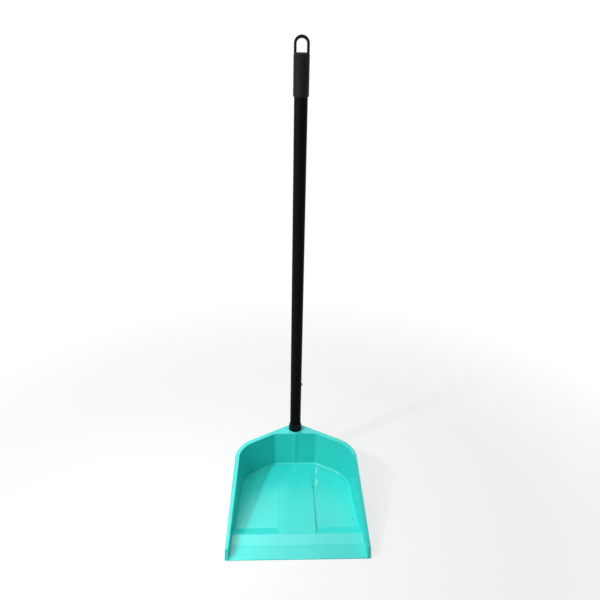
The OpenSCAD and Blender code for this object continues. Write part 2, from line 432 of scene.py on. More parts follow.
class NodeBench:
    """Adds and links the nodes of one material or of the surroundings."""

    def __init__(self, owner: bpy.types.Material | bpy.types.World) -> None:
        """Starts with the plain shader.

        Args:
            owner: the new material or world.
        """
        owner.use_nodes = True
        self.owner = owner
        self.tree: bpy.types.NodeTree = owner.node_tree
        self.shader = self.tree.nodes.get("Principled BSDF") or self.tree.nodes["Background"]

    @cached_property
    def coordinates(self) -> Socket:
        """The piece's own coordinates."""
        return self.add("TexCoord").outputs["Object"]

    def fill(self, node: bpy.types.Node, **inputs: float | Colour | Socket) -> bpy.types.Node:
        """Fills inputs of a node.

        Args:
            node: the node.
            inputs: values and sockets for its inputs, named with underscores for spaces.

        Returns:
            The same node.
        """
        for name, value in inputs.items():
            socket = node.inputs[name.replace("_", " ")]
            if isinstance(value, Socket):
                self.tree.links.new(value, socket)
            else:
                socket.default_value = (*value, 1) if socket.type == "RGBA" else value
        return node

    def add(self, kind: str, **inputs: float | Colour | Socket) -> bpy.types.Node:
        """Adds a node of a kind and fills its inputs."""
        return self.fill(self.tree.nodes.new(f"ShaderNode{kind}"), **inputs)

    def paint(self, **inputs: float | Colour | Socket) -> None:
        """Fills inputs of the shader."""
        self.fill(self.shader, **inputs)

    def noise(self, grain: Grain, low: float = 0, high: float = 1) -> Socket:
        """Noise on the piece's own coordinates.

        Args:
            grain: the pattern.
            low: result at the start of the pattern's range.
            high: result at the stop of the pattern's range.

        Returns:
            The value socket.
        """
        mapping = self.add("Mapping", Vector=self.coordinates, Scale=grain.stretch)
        texture = self.add("TexNoise", Vector=mapping.outputs[0], Scale=grain.scale, Detail=grain.detail)
        return self.span(texture.outputs[0], (grain.start, grain.stop), (low, high))

    def away(self, vector: Socket) -> Socket:
        """Length of a vector.

        Args:
            vector: the vector's socket.

        Returns:
            The value socket.
        """
        node = self.add("VectorMath", Vector=vector)
        node.operation = "LENGTH"
        return node.outputs["Value"]

    def spot(self, centre: Place, half: Place, turn: float, heart: float = 0.6) -> Socket:
        """Share that is 1 in the heart of a long round spot and 0 outside it.

        Args:
            centre: middle of the spot in the frame.
            half: half of its size along each axis.
            turn: its turn about the upright axis, in radians.
            heart: size of the heart as a share of the spot.

        Returns:
            The value socket.
        """
        mapping = self.add(
            "Mapping", Vector=self.coordinates, Location=centre, Rotation=(0, 0, turn), Scale=half
        )
        mapping.vector_type = "TEXTURE"
        return self.span(self.away(mapping.outputs[0]), (1, heart), (0, 1))

    def height(self) -> Socket:
        """Height above the surface that the part stands on."""
        return self.add("SeparateXYZ", Vector=self.coordinates).outputs["Z"]

    def span(self, value: Socket, given: Pair, wanted: Pair) -> Socket:
        """Maps a value from one range to another.

        Args:
            value: the socket to map.
            given: start and stop of the value's range.
            wanted: result at the start and at the stop.

        Returns:
            The mapped socket.
        """
        start, stop = given
        low, high = wanted
        node = self.add("MapRange", Value=value, From_Min=start, From_Max=stop, To_Min=low, To_Max=high)
        return node.outputs["Result"]

    def reckon(self, how: Reckon, a: Socket, b: Socket) -> Socket:
        """Makes one value of two.

        Args:
            how: how the two become one.
            a: first value.
            b: second value.

        Returns:
            The value socket.
        """
        node = self.add("Math")
        node.operation = how.value
        self.tree.links.new(a, node.inputs[0])
        self.tree.links.new(b, node.inputs[1])
        return node.outputs["Value"]

    def seen(self) -> Socket:
        """Share that is 1 for what the camera sees, straight or through gloss and glass.

        Returns:
            The value socket.
        """
        rays = self.add("LightPath").outputs
        share = rays["Is Camera Ray"]
        for name in ("Is Glossy Ray", "Is Transmission Ray"):
            share = self.reckon(Reckon.LARGER, share, rays[name])
        return share

    def blend(self, share: Socket, a: Colour | Socket, b: Colour) -> Socket:
        """Blend of two colours.

        Args:
            share: share of the second colour.
            a: first colour, or a socket that gives it.
            b: second colour.

        Returns:
            The colour socket.
        """
        node = self.add("Mix", Factor=share)
        node.data_type = "RGBA"
        first, second = (s for s in node.inputs if s.name in "AB" and s.type == "RGBA")
        if isinstance(a, Socket):
            self.tree.links.new(a, first)
        else:
            first.default_value = (*a, 1)
        second.default_value = (*b, 1)
        return next(s for s in node.outputs if s.type == "RGBA")

    def bump(self, height: Socket, depth: float, **under: Socket) -> Socket:
        """Surface relief of a depth in metres, over another one where its Normal is given."""
        return self.add("Bump", Height=height, Distance=depth, **under).outputs["Normal"]


@dataclass(frozen=True)
class PanFinish:
    """Satin turquoise moulding, a little paler where it flowed thin and where the sweep rubs it, with a
    painted highlight along the seam line and painted shade in the gate mark's pit.
    """

    colour: Colour = (0.033, 0.69, 0.635)
    flow: Grain = Grain(14, 3, start=0.35, stop=0.65)
    flow_colour: Colour = (0.037, 0.72, 0.665)
    streak: Grain = Grain(160, 4, (1, 0.06, 1), 0.58, 0.75)
    streak_share: float = 0.5
    rub_heights: Pair = (0.001, 0.03)
    rub_colour: Colour = (0.085, 0.76, 0.715)
    cloud: Grain = Grain(60, 4, start=0.3, stop=0.7)
    gloss: Pair = (0.285, 0.365)
    wave: Grain = Grain(30)
    wave_depth: float = 0.00006
    grain: Grain = Grain(900)
    grain_depth: float = 0.000002
    refraction: float = 1.49
    # Painted highlight: pale streaks along the seam line, where the raised seam's glints are
    seam_glint_colour: Colour = (0.62, 0.95, 0.93)
    seam_glint_half: Place = (0.0015, 0.013, 0.003)
    seam_glint_turn: float = math.radians(-3.4)
    seam_glints: tuple[Place, ...] = ((0.0449, 0.0735, 0.0037), (0.0431, 0.0425, 0.0037))
    # Dark spots: painted shade in the gate mark's pit, and a second dark spot on the floor near the right
    # wall
    dark_spot_colour: Colour = (0.008, 0.15, 0.14)
    dark_spot_half: Place = (0.0019, 0.0021, 0.002)
    dark_spots: tuple[Place, ...] = ((0.0362, 0.03015, 0.002), (0.1072, -0.05235, 0.002))

    def material(self) -> bpy.types.Material:
        """Builds the finish.

        Returns:
            The material.
        """
        bench = NodeBench(bpy.data.materials.new("turquoise_moulding"))
        streaks = bench.noise(self.streak, 0, self.streak_share)
        low_down = bench.span(bench.height(), self.rub_heights, (1, 0))
        rubbed = bench.reckon(Reckon.PRODUCT, streaks, low_down)
        colour = bench.blend(bench.noise(self.flow), self.colour, self.flow_colour)
        colour = bench.blend(rubbed, colour, self.rub_colour)
        # Painted highlight along the seam line
        for place in self.seam_glints:
            glint = bench.spot(place, self.seam_glint_half, self.seam_glint_turn)
            colour = bench.blend(glint, colour, self.seam_glint_colour)
        # Painted shade in the gate mark's pit, and the second dark spot
        for place in self.dark_spots:
            colour = bench.blend(bench.spot(place, self.dark_spot_half, 0), colour, self.dark_spot_colour)
        wave = bench.bump(bench.noise(self.wave), self.wave_depth)
        relief = bench.bump(bench.noise(self.grain), self.grain_depth, Normal=wave)
        roughness = bench.noise(self.cloud, *self.gloss)
        bench.paint(Base_Color=colour, Roughness=roughness, Normal=relief, IOR=self.refraction)
        return bench.owner


@dataclass(frozen=True)
class TonedFinish:
    """A finish of two near tones, with a clouded gloss and a fine relief."""

    name: str
    colour: Colour
    pale: Colour
    tone: Grain
    cloud: Grain
    gloss: Pair
    relief: Grain
    depth: float
    specular: float = 0.5
    metal: float = 0

    def material(self) -> bpy.types.Material:
        """Builds the finish.

        Returns:
            The material.
        """
        bench = NodeBench(bpy.data.materials.new(self.name))
        bench.paint(
            Base_Color=bench.blend(bench.noise(self.tone), self.colour, self.pale),
            Roughness=bench.noise(self.cloud, *self.gloss),
            Normal=bench.bump(bench.noise(self.relief), self.depth),
            Specular_IOR_Level=self.specular,
            Metallic=self.metal,
        )
        return bench.owner


# Dull black plastic, drawn along the tube
DRAWN_COATING = Grain(700, 3, (1, 1, 0.02), 0.4, 0.7)
SLEEVE_COATING = TonedFinish(
    "black_coating",
    colour=(0.0036, 0.0028, 0.0031),
    pale=(0.0056, 0.0046, 0.005),
    tone=DRAWN_COATING,
    cloud=Grain(120, 3, (1, 1, 0.2), 0.3, 0.7),
    gloss=(0.42, 0.55),
    relief=DRAWN_COATING,
    depth=0.000008,
    specular=0.035,
)
# Satin black plastic with a cold cast
TIP_MOULDING = TonedFinish(
    "black_moulding",
    colour=(0.0035, 0.0045, 0.0052),
    pale=(0.006, 0.0075, 0.0085),
    tone=Grain(90, 3, start=0.35, stop=0.65),
    cloud=Grain(200, 3, start=0.3, stop=0.7),
    gloss=(0.4, 0.52),
    relief=Grain(1300),
    depth=0.000008,
    specular=0.08,
)
# Charcoal plastic with a fine spark-eroded texture
CAP_MOULDING = TonedFinish(
    "charcoal_moulding",
    colour=(0.0085, 0.0082, 0.0108),
    pale=(0.0125, 0.0121, 0.015),
    tone=Grain(110, 4, start=0.35, stop=0.65),
    cloud=Grain(300, 3, start=0.3, stop=0.7),
    gloss=(0.5, 0.64),
    relief=Grain(2200),
    depth=0.00001,
    specular=0.12,
)
# Bare steel with fine marks along it
DRAWN_STEEL = Grain(900, 3, (1, 1, 0.05), 0.4, 0.7)
TUBE_STEEL = TonedFinish(
    "bare_tube_steel",
    colour=(0.52, 0.52, 0.54),
    pale=(0.64, 0.64, 0.66),
    tone=DRAWN_STEEL,
    cloud=Grain(250, 3, start=0.3, stop=0.7),
    gloss=(0.28, 0.42),
    relief=DRAWN_STEEL,
    depth=0.00001,
    metal=1,
)
# The same steel, blackened and worn
RIVET_STEEL = replace(
    TUBE_STEEL,
    name="blackened_steel",
    colour=(0.13, 0.13, 0.135),
    pale=(0.32, 0.32, 0.33),
    gloss=(0.38, 0.5),
)


@dataclass
class SubAssembly:
    """What is modelled about the handle's axis, and shaded smooth up to a crease angle in degrees."""

    axis_y: float
    crease: float = 35

    def at(self, x: float, y: float, z: float) -> Vector:
        """Place in the frame of a point given from the handle's axis."""
        return Vector((x, y + self.axis_y, z))


@dataclass
class Pan(SubAssembly):
    """The moulded pan, with hollow walls, a ramped lip, a raised tongue and the handle's socket."""

    mouth_w: float = 0.259
    back_w: float = 0.2415
    lip_reach: float = 0.257
    corner_reach: float = 0.087
    back_angle: float = math.radians(31)
    corner_r: float = 0.06
    corner_steps: int = 24
    back_r: float = 0.0175
    back_steps: int = 20
    rear_h: float = 0.081
    mouth_h: float = 0.0195
    rake: float = 0.008
    level_reach: float = 0.082
    wall_lean: float = math.tan(math.radians(2))
    skin_t: float = 0.0024
    floor_t: float = 0.003
    floor_mouth_w: float = 0.2452
    floor_back_w: float = 0.2205
    floor_back_reach: float = 0.0205
    floor_slant_r: float = 0.0044
    floor_corner_r: float = 0.0552
    floor_bend_r: float = 0.0133
    floor_bend_steps: int = 8
    lip_t: float = 0.0012
    facet_reach: float = 0.2295
    facet_h: float = 0.0046
    ridge_reach: float = 0.2095
    ridge_h: float = 0.009
    ridge_foot_reach: float = 0.1905
    tongue_w: float = 0.069
    tongue_reach: float = 0.058
    pocket_gap: float = 0.0002
    socket_r: float = 0.0131
    socket_floor_z: float = 0.021
    socket_bulge: float = 0.0024
    ring_w: float = 0.0036
    ring_h: float = 0.0012
    ring_steps: int = 16
    bead_sink: float = 0.0002
    rib_t: float = 0.002
    rim_round: float = 0.0024
    rim_steps: int = 5
    edge_round: float = 0.0008
    edge_steps: int = 3
    foot_round: float = 0.0018
    fillet: float = 0.0045
    fillet_steps: int = 6
    crest_round: float = 0.003
    crest_turn: float = math.radians(30)
    crest_steps: int = 4
    tongue_round: float = 0.0003
    wall_bulge: float = 0.0041
    groove_w: Pair = (0.0012, 0.0019)
    groove_reach: Pair = (0.072, 0.046)
    groove_bite: float = 0.0002
    groove_d: float = 0.0018
    groove_runout: float = 0.6
    gate_mark: Pair = (0.0362, -0.0896)
    gate_mark_r: float = 0.0014
    gate_mark_d: float = 0.0018
    gate_mark_steps: int = 20
    seam_back: Pair = (0.0457, -0.0328)
    seam_front: Pair = (0.0423, -0.0897)
    seam_w: float = 0.0014
    seam_h: float = 0.0009
    seam_round: float = 0.00056
    fan: tuple[Place, ...] = (
        (0.0490, -0.0220, -0.00005),
        (0.0700, -0.0550, -0.00005),
        (0.1075, -0.0690, 0.0004),
        (0.0985, -0.0505, 0.0008),
    )
    broad_area: float = 0.0004
    slight_angle: float = math.radians(4)

    def plan(self, point: Vector, side: int = 1) -> Vector:
        """Place in the frame of a plan point of the right side, or of its mirror image where side is -1."""
        return Vector((side * point.x, point.y + self.axis_y))

    def side_line(self, front_w: float, rear_w: float) -> Wall:
        """Outward normal and distance of the right side wall, from the width over both walls at each end."""
        normal = Vector((self.lip_reach - self.corner_reach, (front_w - rear_w) / 2)).normalized()
        return normal, normal.dot(Vector((front_w / 2, -self.lip_reach)))

    @property
    def slant(self) -> Vector:
        """Outward normal of the right slanted back wall."""
        return Vector((math.sin(self.back_angle), math.cos(self.back_angle)))

    @property
    def crest_y(self) -> float:
        """Place of the ridge's crest along the frame."""
        return self.axis_y - self.ridge_reach

    def rim_z(self, y: float) -> float:
        """Height of the rim at a place along the pan, given from the handle's axis."""
        drop = (self.rear_h - self.mouth_h) / (self.lip_reach - self.rake - self.level_reach)
        return self.rear_h - drop * max(0.0, -self.level_reach - y)

    def trim_sides(self, piece: Workpiece, walls: Sequence[Wall], lean: float) -> None:
        """Cuts a solid to the walls on both sides.

        Args:
            piece: the solid.
            walls: outward normal and distance of each wall on the right side.
            lean: outward slope of the walls.
        """
        for side in SIDES:
            for normal, reach in walls:
                foot = self.at(side * normal.x * reach, normal.y * reach, self.floor_t)
                piece.cut(foot, Vector((side * normal.x, normal.y, -lean)))

    def shell_block(self, name: str, inset: float, low_z: float) -> Workpiece:
        """Solid with the pan's outline, up to its rim.

        Args:
            name: name of the piece.
            inset: how far it is drawn in at the sides, the mouth and the rim.
            low_z: height of its underside.

        Returns:
            The solid.
        """
        low = self.at(-self.mouth_w, inset - self.lip_reach, low_z)
        block = Workpiece.block(name, low, self.at(self.mouth_w, 2 * self.back_r, self.rear_h - inset))
        normal, reach = self.side_line(self.mouth_w, self.back_w)
        reach, back = reach - inset, self.back_r - inset
        self.trim_sides(block, ((normal, reach), (self.slant, back)), 0)
        corner = meet(normal, reach, self.slant, back)
        turn = normal.angle(self.slant)
        for side in SIDES:
            edge = upright_at(self.plan(corner, side))
            block.round_edges(edge, self.corner_r - inset, self.corner_steps, turn)
        apex = self.plan(Vector((0, back / self.slant.y)))
        block.round_edges(upright_at(apex), back, self.back_steps, 2 * self.back_angle)
        end = self.at(0, inset + self.rake - self.lip_reach, self.mouth_h - inset)
        slope_top = self.at(0, -self.level_reach, self.rear_h - inset)
        end_foot = self.at(0, inset - self.lip_reach, 0)
        for other in (slope_top, end_foot):
            along = other - end
            outward = Vector((0, -along.z, along.y))
            block.cut(end, outward if outward.z > 0 else -outward)
        return block

    def pan_space(self, name: str, grow: float, low_z: float) -> Workpiece:
        """Space between the leaning inner walls, open at the mouth.

        Args:
            name: name of the piece.
            grow: how far the walls are moved outwards.
            low_z: height of its underside.

        Returns:
            The space as a solid.
        """
        low = self.at(-self.mouth_w, -self.lip_reach - OVER, low_z)
        space = Workpiece.block(name, low, self.at(self.mouth_w, 0, self.rear_h + OVER))
        normal, reach = self.side_line(self.floor_mouth_w, self.floor_back_w)
        reach, slant_r, back = reach + grow, self.floor_slant_r + grow, grow - self.floor_back_reach
        self.trim_sides(space, ((normal, reach), (self.slant, slant_r)), self.wall_lean)
        space.cut(self.at(0, back, self.floor_t), Vector((0, 1, -self.wall_lean)))
        corner = meet(normal, reach, self.slant, slant_r)
        bend = meet(self.slant, slant_r, Vector((0, 1)), back)
        turn = normal.angle(self.slant)
        for side in SIDES:
            edge = upright_at(self.plan(corner, side))
            space.round_edges(edge, self.floor_corner_r + grow, self.corner_steps, turn)
            edge = upright_at(self.plan(bend, side))
            space.round_edges(edge, self.floor_bend_r + grow, self.floor_bend_steps, self.back_angle)
        return space

    def round_floor_edge(self, space: Workpiece) -> None:
        """Fillets the foot of the walls behind the ridge.

        Args:
            space: the space inside the pan.
        """
        foot = parts(looks_down, is_wall)
        space.score(Vector((0, self.crest_y, 0)), Vector((0, 1, 0)))
        space.round_edges(
            lambda e: foot(e) and middle(e).y > self.crest_y,
            self.fillet,
            self.fillet_steps,
            SQUARE - math.atan(self.wall_lean),
        )

    def ridge_bar(self, name: str, width: float, drop: float) -> Workpiece:
        """Bar across the mouth, with the two ramp facets in front and the slope behind.

        Args:
            name: name of the piece.
            width: length of the bar across the pan.
            drop: how far it is lowered.

        Returns:
            The bar.
        """
        stations = {
            -self.lip_reach: self.lip_t,
            -self.facet_reach: self.facet_h,
            -self.ridge_reach: self.ridge_h,
            -self.ridge_foot_reach: self.floor_t,
        }
        front, back = -self.lip_reach - 2 * OVER, -self.ridge_foot_reach
        top = self.ridge_h - drop
        bar = Workpiece.block(name, self.at(-width / 2, front, -4 * OVER), self.at(width / 2, back, top))
        for y in list(stations)[:-1]:
            bar.score(self.at(0, y, 0), Vector((0, 1, 0)))
        for y, z in ((front, self.lip_t), *stations.items()):
            bar.shift_points(top_at(y + self.axis_y, top), Vector((0, 0, z - drop - top)))
        crest = top_at(self.crest_y, top)
        bar.round_edges(
            lambda e: crest(middle(e)) and abs(middle(e).x) < MERGE,
            self.crest_round,
            self.crest_steps,
            self.crest_turn,
        )
        return bar

    def tongue_bar(self, name: str, width: float, drop: float) -> Workpiece:
        """Wedge along the middle of the floor, which rises towards the ridge.

        Args:
            name: name of the piece.
            width: width of the wedge.
            drop: how far it is lowered.

        Returns:
            The wedge.
        """
        top = self.ridge_h - drop
        low = self.at(-width / 2, -self.ridge_reach, -4 * OVER)
        wedge = Workpiece.block(name, low, self.at(width / 2, -self.tongue_reach, top))
        back_edge = top_at(self.axis_y - self.tongue_reach, top)
        wedge.shift_points(back_edge, Vector((0, 0, self.floor_t - self.ridge_h)))
        wedge.round_edges(parts(looks_up, looks_aside), self.tongue_round, self.edge_steps)
        return wedge

    def socket_boss(self, name: str, forward: float) -> Workpiece:
        """Round boss of the socket, moved forward into the pan."""
        return Workpiece.rod(name, self.at(0, -forward, -OVER), self.back_r, self.rear_h + 3 * OVER)

    def carve_inside(self, pan: Workpiece) -> None:
        """Cuts the space between the walls, down to the floor with its ridge and tongue.

        Args:
            pan: the solid with the pan's outline.
        """
        space = self.pan_space("space", 0, self.floor_t)
        self.round_floor_edge(space)
        with space.editing(Pick.FACE, lambda f: looks_down(f) and f.calc_center_median().y < self.crest_y):
            bpy.ops.mesh.extrude_region_move(
                TRANSFORM_OT_translate={"value": (0, 0, self.lip_t / 2 - self.floor_t)}
            )
        space.join(self.ridge_bar("ridge", 2 * self.mouth_w, 0), Join.CUT)
        space.join(self.tongue_bar("tongue", self.tongue_w, 0), Join.CUT)
        bulge = self.socket_boss("bulge", self.wall_bulge)
        bulge.shift_points(lambda p: p.z > self.rear_h, Vector((0, self.wall_lean * self.rear_h, 0)))
        space.join(bulge, Join.CUT)
        pan.join(space, Join.CUT)

    def tongue_groove(self, side: int, width: float, reach: float) -> Workpiece:
        """Fine groove beside the tongue, which runs out towards the back.

        Args:
            side: -1 for the left side and 1 for the right side.
            width: width of the groove.
            reach: distance from the handle's axis to where it has run out.

        Returns:
            The groove as a solid.
        """
        left, right = sorted(side * (self.tongue_w / 2 - self.groove_bite + across) for across in (0, width))
        bottom = self.floor_t - self.groove_d
        low = self.at(left, -self.ridge_foot_reach, bottom)
        groove = Workpiece.block("groove", low, self.at(right, -reach, self.ridge_h))
        back = self.axis_y - reach
        rise = Vector((0, 0, self.groove_runout * self.groove_d))
        groove.shift_points(lambda p: p.y > back - MERGE and p.z < bottom + MERGE, rise)
        return groove

    def corner_fan(self, side: int) -> Workpiece:
        """Low ramp in one back corner, which rises from a fine step towards the walls.

        Args:
            side: -1 for the left side and 1 for the right side.

        Returns:
            The ramp as a solid.
        """
        middle_x = sum(x for x, _, _ in self.fan) / len(self.fan)
        middle_y = sum(y for _, y, _ in self.fan) / len(self.fan)
        half = self.fillet
        low = self.at(side * middle_x - half, middle_y - half, self.floor_t - OVER)
        high = self.at(side * middle_x + half, middle_y + half, self.floor_t)
        fan = Workpiece.block("fan", low, high)
        signs = ((-1, 1), (-1, -1), (1, -1), (1, 1))
        for (x, y, rise), (sx, sy) in zip(self.fan, signs):
            start = self.at(side * (middle_x + sx * half), middle_y + sy * half, self.floor_t)
            stop = self.at(side * x, y, self.floor_t)
            fan.shift_points(lambda p: (p.xy - start.xy).length < MERGE, stop - start)
            fan.shift_points(lambda p: (p - stop).length < MERGE, Vector((0, 0, rise)))
        return fan

    def seam_line(self) -> Workpiece:
        """Thin raised line on the floor, right of the tongue.

        Returns:
            The line as a low bar.
        """
        half = self.seam_w / 2
        (back_x, back_y), (front_x, front_y) = self.seam_back, self.seam_front
        low = self.at(back_x - half, front_y, self.floor_t - self.seam_h)
        seam = Workpiece.block("seam", low, self.at(back_x + half, back_y, self.floor_t + self.seam_h))
        front = self.axis_y + front_y
        seam.shift_points(lambda p: p.y < front + MERGE, Vector((front_x - back_x, 0, 0)))
        seam.round_edges(parts(looks_up, looks_aside), self.seam_round, self.edge_steps)
        return seam

    def mark_floor(self, pan: Workpiece) -> None:
        """Adds the moulding's marks to the floor: the grooves, the gate's mark and the seam line.

        Args:
            pan: the pan, carved inside.
        """
        for side, width, reach in zip(SIDES, self.groove_w, self.groove_reach):
            pan.join(self.tongue_groove(side, width, reach), Join.CUT)
        foot = self.at(*self.gate_mark, self.floor_t - self.gate_mark_d)
        mark = Workpiece.rod("gate_mark", foot, self.gate_mark_r, self.ridge_h, self.gate_mark_steps)
        pan.join(mark, Join.CUT)
        pan.join(self.seam_line(), Join.ADD)

    def is_crease(self, edge: Edge) -> bool:
        """Whether an edge parts two broad faces that meet at a slight angle."""
        broad = all(face.calc_area() > self.broad_area for face in edge.link_faces)
        return broad and edge.calc_face_angle(0) > self.slight_angle

    def carve_underside(self, pan: Workpiece) -> None:
        """Hollows the walls and the floor from below.

        Args:
            pan: the pan, carved inside.
        """
        hollow = self.shell_block("hollow", self.skin_t, -OVER)
        hollow.join(self.pan_space("inner_skin", self.skin_t, -2 * OVER), Join.CUT)
        for forward in (0, self.socket_bulge):
            hollow.join(self.socket_boss("boss", forward), Join.CUT)
        low = self.at(-self.back_w, -self.rib_t / 2, -2 * OVER)
        rib = Workpiece.block("rib", low, self.at(self.back_w, self.rib_t / 2, self.rear_h))
        hollow.join(rib, Join.CUT)
        pan.join(hollow, Join.CUT)
        pan.join(self.ridge_bar("ridge_pocket", self.floor_back_w, self.floor_t), Join.CUT)
        width, drop = self.tongue_w - 2 * self.floor_t, self.floor_t + self.pocket_gap
        pan.join(self.tongue_bar("tongue_pocket", width, drop), Join.CUT)

    def is_rim_edge(self, edge: Edge) -> bool:
        """Whether an edge lies along the inside of the rim.

        Args:
            edge: the edge.

        Returns:
            True for an edge of the rim.
        """
        spot = middle(edge)
        on_rim = abs(spot.z - self.rim_z(spot.y - self.axis_y)) < ON_FACE
        return on_rim and parts(looks_up, stands)(edge)

    def is_end_edge(self, edge: Edge) -> bool:
        """Whether an edge lies round the front end of a side wall or along the lip.

        Args:
            edge: the edge.

        Returns:
            True for an edge of the mouth.
        """
        slope = self.rake / self.mouth_h
        ends = [v.co.y - self.axis_y + self.lip_reach - slope * v.co.z for v in edge.verts]
        return max(map(abs, ends)) < ON_FACE and middle(edge).z > self.lip_t / 2

    def add_socket(self, pan: Workpiece) -> None:
        """Bores the socket and adds the bead round its mouth.

        Args:
            pan: the carved pan.
        """
        depth = self.rear_h - self.socket_floor_z
        bore = Workpiece.rod("bore", self.at(0, 0, self.socket_floor_z), self.socket_r, 2 * depth)
        pan.join(bore, Join.CUT)
        below = self.socket_floor_z - self.skin_t
        lower_bore = Workpiece.rod("lower_bore", self.at(0, 0, -OVER), self.socket_r, below + OVER)
        pan.join(lower_bore, Join.CUT)
        deselect_all()
        bpy.ops.mesh.primitive_torus_add(
            location=self.at(0, 0, self.rear_h - self.bead_sink),
            major_radius=self.socket_r + self.ring_w / 2 + self.bead_sink,
            minor_radius=self.ring_w / 2,
            major_segments=ROUND_STEPS,
            minor_segments=self.ring_steps,
        )
        bpy.context.object.scale.z = 2 * (self.ring_h + self.bead_sink) / self.ring_w
        pan.join(Workpiece("bead"), Join.ADD)

    def build(self) -> Workpiece:
        """Models the pan.

        Returns:
            The shaped pan.
        """
        pan = self.shell_block("moulded_pan", 0, 0)
        pan.round_edges(parts(looks_up, is_wall), self.rim_round, self.rim_steps)
        pan.round_edges(parts(looks_down, is_wall), self.foot_round, self.edge_steps)
        self.carve_inside(pan)
        pan.round_edges(
            lambda e: self.is_rim_edge(e) or self.is_end_edge(e), self.edge_round, self.edge_steps
        )
        for side in SIDES:
            pan.join(self.corner_fan(side), Join.ADD)
        self.carve_underside(pan)
        self.add_socket(pan)
        self.mark_floor(pan)
        pan.clean()
        pan.sharpen(self.is_crease)
        pan.shade(self.crease)
        return pan

    def dress(self, pan: Workpiece) -> bpy.types.Object:
        """Gives the pan its finish and its place."""
        return pan.place(Body.PAN, "pan", "pan_plastic", PanFinish().material())


@dataclass
class HandleTip(SubAssembly):
    """The black fitting in the socket, with its flared collar and the shank inside the tube."""

    crease: float = 32
    ledge_z: float = 0.081
    end_z: float = 0.0212
    tip_r: float = 0.013
    lead_in: float = 0.0012
    tip_wall: float = 0.003
    collar_h: float = 0.0075
    collar_taper_h: float = 0.009
    flare_steps: int = 8
    mouth_r: float = 0.01105
    mouth_wall: float = 0.0005
    tube_rise: float = 0.003
    shank_r: float = 0.00995
    shank_top_z: float = 0.205

    def profile(self) -> list[Pair]:
        """Half section from the tip's inner end round to the shank's.

        Returns:
            Pairs of radius and height.
        """
        collar_z = self.ledge_z + self.collar_h
        collar_top = collar_z + self.collar_taper_h
        shank_bore, tip_bore = self.shank_r - self.tip_wall, self.tip_r - self.tip_wall
        narrowing = self.tip_r - self.mouth_r - self.mouth_wall
        shares = [step / self.flare_steps for step in range(self.flare_steps + 1)]
        flare = [
            (self.tip_r - narrowing * (1 - math.cos(math.pi * s)) / 2, collar_z + self.collar_taper_h * s)
            for s in shares
        ]
        return [
            (0, self.ledge_z - self.tip_wall),
            (tip_bore, self.ledge_z - self.tip_wall),
            (tip_bore, self.end_z),
            (self.tip_r - self.lead_in, self.end_z),
            (self.tip_r, self.end_z + self.lead_in),
            *flare,
            (self.mouth_r, collar_top),
            (self.mouth_r, self.ledge_z + self.tube_rise),
            (self.shank_r, self.ledge_z + self.tube_rise),
            (self.shank_r, self.shank_top_z),
            (shank_bore, self.shank_top_z),
            (shank_bore, self.ledge_z),
            (0, self.ledge_z),
        ]

    def build(self) -> Workpiece:
        """Models the tip.

        Returns:
            The shaped tip.
        """
        tip = Workpiece.turned("push_tip", self.at(0, 0, 0), self.profile(), ROUND_STEPS)
        tip.shade(self.crease)
        return tip

    def dress(self, tip: Workpiece) -> bpy.types.Object:
        """Gives the tip its finish and its place."""
        return tip.place(Body.HANDLE, "handle_tip", "tip_plastic", TIP_MOULDING.material())


@dataclass
class HandleSleeve(SubAssembly):
    """The black plastic coating along the whole tube."""

    crease: float = 40
    radius: float = 0.011
    thickness: float = 0.00045
    end_round: float = 0.0002
    end_steps: int = 2

    def build(self) -> Workpiece:
        """Models the coating over the length of its CAD node.

        Returns:
            The shaped coating.
        """
        low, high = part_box("handle_sleeve")
        sleeve = Workpiece.rod("coated_sleeve", self.at(0, 0, low.z), self.radius, high.z - low.z)
        with sleeve.editing(Pick.FACE, lambda f: looks_up(f) or looks_down(f)):
            bpy.ops.mesh.inset(thickness=self.thickness)
            bpy.ops.mesh.bridge_edge_loops()
        sleeve.clean()
        sleeve.round_edges(
            parts(lambda f: looks_up(f) or looks_down(f), stands), self.end_round, self.end_steps
        )
        sleeve.shade(self.crease)
        return sleeve

    def dress(self, sleeve: Workpiece) -> bpy.types.Object:
        """Gives the coating its finish and its place."""
        return sleeve.place(Body.HANDLE, "handle_sleeve", "sleeve_vinyl", SLEEVE_COATING.material())


